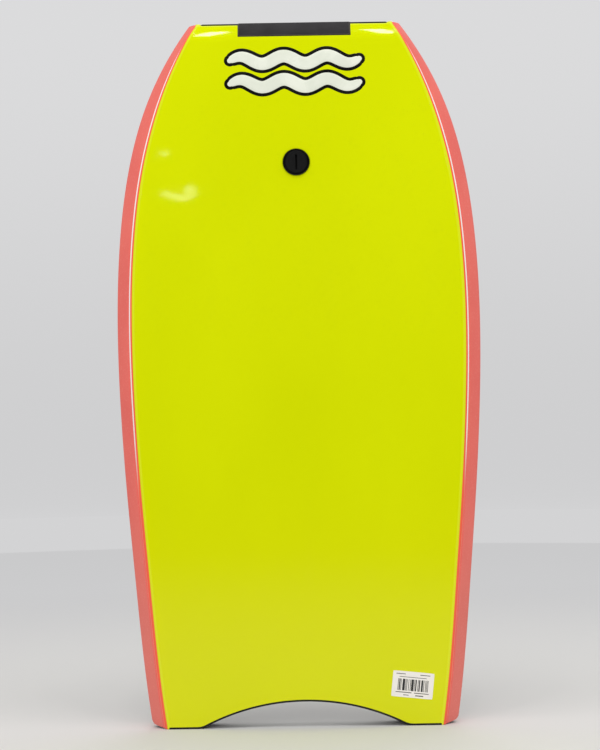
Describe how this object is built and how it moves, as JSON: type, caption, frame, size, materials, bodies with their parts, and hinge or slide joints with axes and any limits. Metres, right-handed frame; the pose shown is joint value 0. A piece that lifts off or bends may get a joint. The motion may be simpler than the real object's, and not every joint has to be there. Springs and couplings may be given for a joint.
{
  "type": "bodyboard",
  "caption": "A bodyboard with a yellow slick, coral foam rails, a black deck, a crescent tail and a screw-in leash plug, standing on its tail.",
  "frame": {"origin": "on the floor plane under the middle of the board's box", "axes": "+X to the right as seen by someone who faces the slick, +Y from the slick side to the deck side, +Z from the tail to the nose"},
  "size_m": [0.55, 0.0888, 1.0679],
  "materials": {
    "core_foam": "closed-cell polyethylene foam",
    "mesh_net": "open plastic net",
    "slick_film": "glossy film",
    "deck_foam": "fine-textured soft foam",
    "bead_plastic": "glossy welded edge",
    "rail_foam": "fine-textured soft foam",
    "badge_fabric": "printed strip, satin",
    "stringer_plastic": "fibre-filled tube",
    "cap_plastic": "moulded",
    "plug_plastic": "moulded, satin",
    "bar_steel": "polished",
    "washer_rubber": "soft",
    "label_paper": "white label"
  },
  "bodies": {
    "board": {"core": "core_foam", "core_mesh": "mesh_net", "slick_skin": "slick_film", "deck_skin": "deck_foam", "edge_bead_left": "bead_plastic", "edge_bead_right": "bead_plastic", "lower_rail_left": "rail_foam", "lower_rail_right": "rail_foam", "upper_rail_left": "rail_foam", "upper_rail_right": "rail_foam", "nose_skin": "deck_foam", "tail_skin": "deck_foam", "nose_badge": "badge_fabric", "stringer_tube": "stringer_plastic", "stringer_tail_plug": "cap_plastic", "stringer_nose_cap": "cap_plastic", "leash_plug_cup": "plug_plastic", "leash_bar": "bar_steel", "leash_plug_deck_washer": "washer_rubber", "barcode_label": "label_paper"},
    "slick_washer": {"leash_plug_slick_washer": "washer_rubber"},
    "plug_screw": {"leash_plug_screw": "plug_plastic"}
  },
  "joints": [
    {"name": "washer_lift", "type": "slide", "parent": "board", "child": "slick_washer", "axis": [0, -0.9954, 0.0963], "range_m": [0, 0.015]},
    {"name": "screw_turn", "type": "hinge", "parent": "slick_washer", "child": "plug_screw", "pos_m": [0, -0.02558, 0.85042], "axis": [0, -0.9954, 0.0963], "range_deg": [0, 1800]}
  ],
  "couplings": [
    {"joint": "washer_lift", "follows": "screw_turn", "m_per_rad": 0.00047746}
  ]
}
